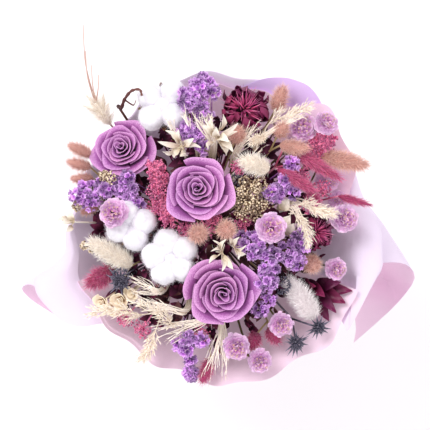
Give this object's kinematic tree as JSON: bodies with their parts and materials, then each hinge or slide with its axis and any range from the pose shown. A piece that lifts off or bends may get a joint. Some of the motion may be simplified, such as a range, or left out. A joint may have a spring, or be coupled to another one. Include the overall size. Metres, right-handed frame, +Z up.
{
  "type": "dried flower bouquet",
  "caption": "Hand-tied spiral bouquet of dried roses, cotton, statice, everlastings and grasses in a pleated paper wrap with rolled lapels, standing on its splayed stems.",
  "frame": {"origin": "on the table, at the middle of the box round the whole bouquet; the tie that holds the stems stands over (-12.88, -19) mm", "axes": "+Z up along the bouquet's axis, -Y towards the person the bouquet faces, +X to that person's right"},
  "size_m": [0.3394, 0.306, 0.312],
  "materials": {
    "rose_petal": "matte",
    "dried_leaf": "matte",
    "cotton_fibre": "matte",
    "dried_husk": "matte",
    "tail_dusty_pink": "matte",
    "tail_cream": "matte",
    "tail_magenta": "matte",
    "statice_violet": "matte",
    "everlasting_lilac": "matte",
    "wine_petal": "matte",
    "pink_spray": "matte",
    "seed_gold": "matte",
    "bleached_grass": "matte",
    "thistle_blue": "matte",
    "wrap_lilac": "matte",
    "wrap_pink": "matte",
    "wrap_film": "satin",
    "ribbon_satin": "satin",
    "binding_twine": "matte"
  },
  "bodies": {
    "root": {"rose_left_bloom": "rose_petal", "rose_centre_bloom": "rose_petal", "rose_front_bloom": "rose_petal", "rose_left_stem": "dried_leaf", "rose_centre_stem": "dried_leaf", "rose_front_stem": "dried_leaf", "cotton_top_fibre": "cotton_fibre", "cotton_left_fibre": "cotton_fibre", "cotton_centre_fibre": "cotton_fibre", "cotton_top_husk": "dried_husk", "cotton_left_husk": "dried_husk", "cotton_centre_husk": "dried_husk", "curled_twig": "dried_husk", "tail_right": "tail_dusty_pink", "tail_top": "tail_dusty_pink", "tail_upper": "tail_dusty_pink", "tail_pair": "tail_dusty_pink", "tail_middle": "tail_dusty_pink", "tail_peach": "tail_dusty_pink", "tails_left": "tail_dusty_pink", "cream_upper": "tail_cream", "cream_left": "tail_cream", "white_right": "tail_cream", "pampas": "tail_cream", "magenta_left": "tail_magenta", "magenta_front": "tail_magenta", "magenta_right": "tail_magenta", "spikes_upper": "tail_magenta", "spike_right": "tail_magenta", "statice_top": "statice_violet", "statice_left": "statice_violet", "statice_right": "statice_violet", "statice_middle": "statice_violet", "statice_front": "statice_violet", "lilac_left": "everlasting_lilac", "lilac_centre": "everlasting_lilac", "lilac_top": "everlasting_lilac", "lilac_right": "everlasting_lilac", "lilac_far_right": "everlasting_lilac", "lilac_low": "everlasting_lilac", "lilac_front": "everlasting_lilac", "lilac_front_right": "everlasting_lilac", "wine_cup": "wine_petal", "wine_bloom": "wine_petal", "wine_leaves": "wine_petal", "coral_left": "pink_spray", "coral_right": "pink_spray", "gold_seeds": "seed_gold", "grass_front": "bleached_grass", "grass_upper": "bleached_grass", "grass_right": "bleached_grass", "thistles_right": "thistle_blue", "thistles_left": "thistle_blue", "wrap_outer": "wrap_lilac", "wrap_front": "wrap_pink", "wrap_film": "wrap_film", "wrap_corner": "ribbon_satin", "ribbon": "ribbon_satin", "binding_twine": "binding_twine"}
  },
  "joints": []
}
